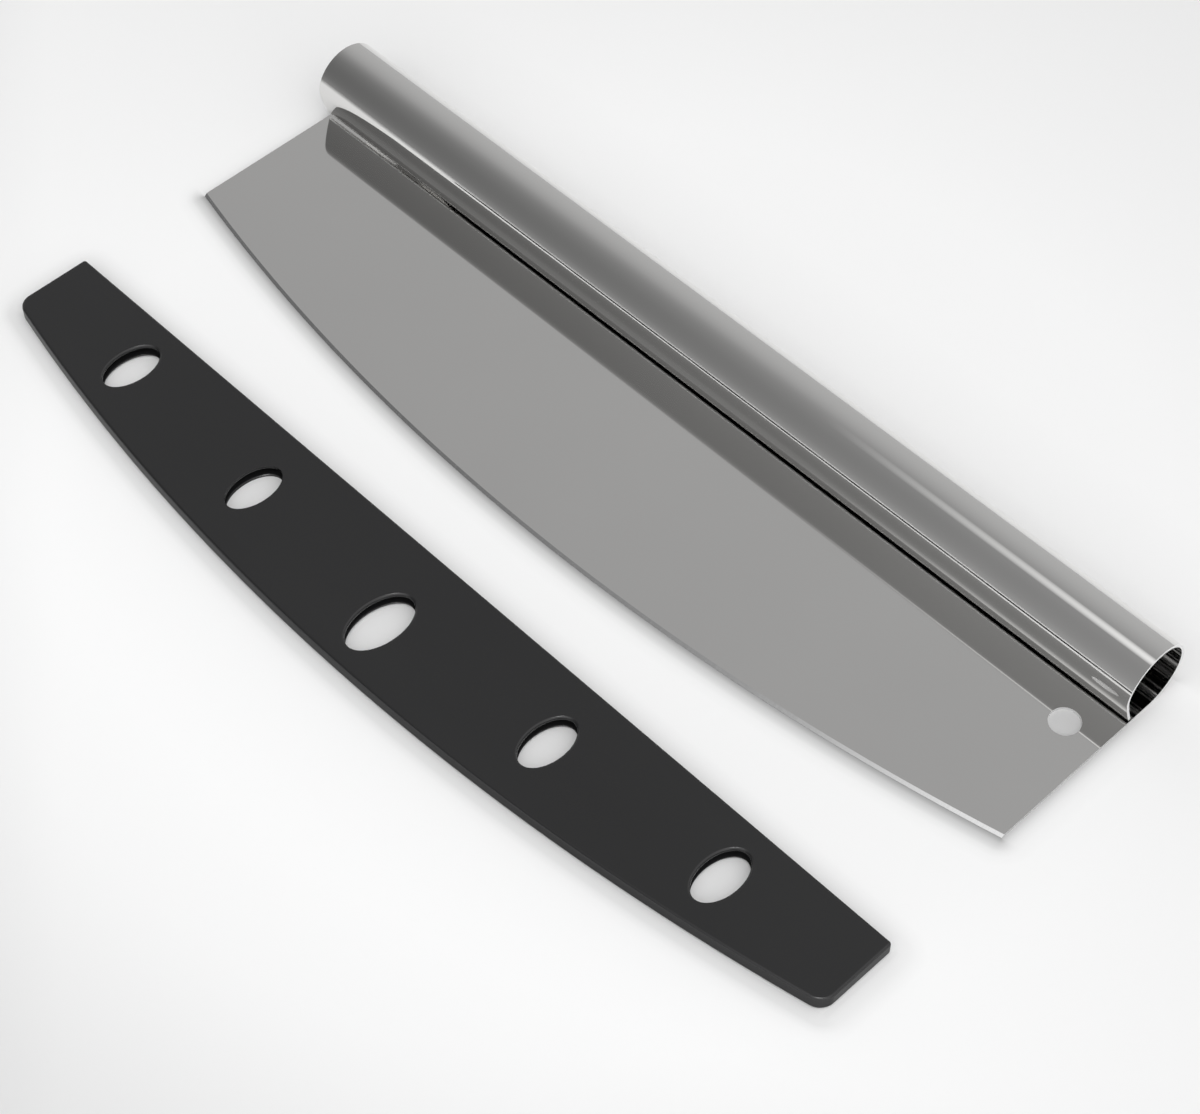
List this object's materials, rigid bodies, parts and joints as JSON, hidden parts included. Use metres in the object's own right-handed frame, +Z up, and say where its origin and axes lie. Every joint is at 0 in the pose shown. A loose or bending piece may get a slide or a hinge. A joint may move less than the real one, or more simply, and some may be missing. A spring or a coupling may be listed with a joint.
{
  "type": "rocking pizza knife",
  "caption": "Long rocking pizza knife bent from sheet steel, with a rolled open handle, a bowed ground edge, a hanging hole and a slotted plastic blade cover.",
  "frame": {"origin": "on the table, on the blade's flat back, half way along the handle and straight below the handle's axis", "axes": "+X runs along the handle to the end with the hanging hole, -Y points at the cutting edge, +Z points up from the table"},
  "size_m": [0.3585, 0.1749, 0.0258],
  "materials": {
    "steel": "polished stainless steel, with a ground band along the cutting edge",
    "cover_plastic": "moulded black plastic with a fine satin grain"
  },
  "bodies": {
    "knife": {"blade_and_handle": "steel"},
    "cover": {"blade_cover": "cover_plastic"}
  },
  "joints": [
    {"name": "cover_off_on", "type": "slide", "parent": "knife", "child": "cover", "axis": [-0.0163, 0.9993, -0.0326], "range_m": [0, 0.07365]}
  ]
}
